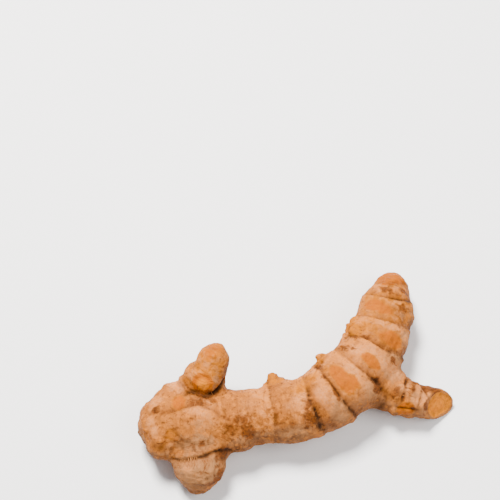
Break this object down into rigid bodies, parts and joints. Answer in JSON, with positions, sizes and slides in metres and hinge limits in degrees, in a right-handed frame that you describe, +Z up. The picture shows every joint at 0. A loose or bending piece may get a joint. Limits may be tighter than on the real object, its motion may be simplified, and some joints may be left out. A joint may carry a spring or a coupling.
{
  "type": "turmeric root",
  "caption": "Fresh turmeric root: a thick ringed body that bends round to a blunt tip, with stubby side fingers, small buds and a knife-cut finger end, lying on a surface.",
  "frame": {"origin": "under the middle of the root's bounding box, on the surface that it lies on", "axes": "+X runs along the body from its thick broken end, +Y points from the near finger towards the body's tip, and +Z is up"},
  "size_m": [0.111, 0.081, 0.0274],
  "materials": {
    "turmeric_skin": "dry, papery tan and pink-brown skin with brown ring scars, rubbed through to orange flesh in places"
  },
  "bodies": {
    "root": {"rhizome": "turmeric_skin"}
  },
  "joints": []
}
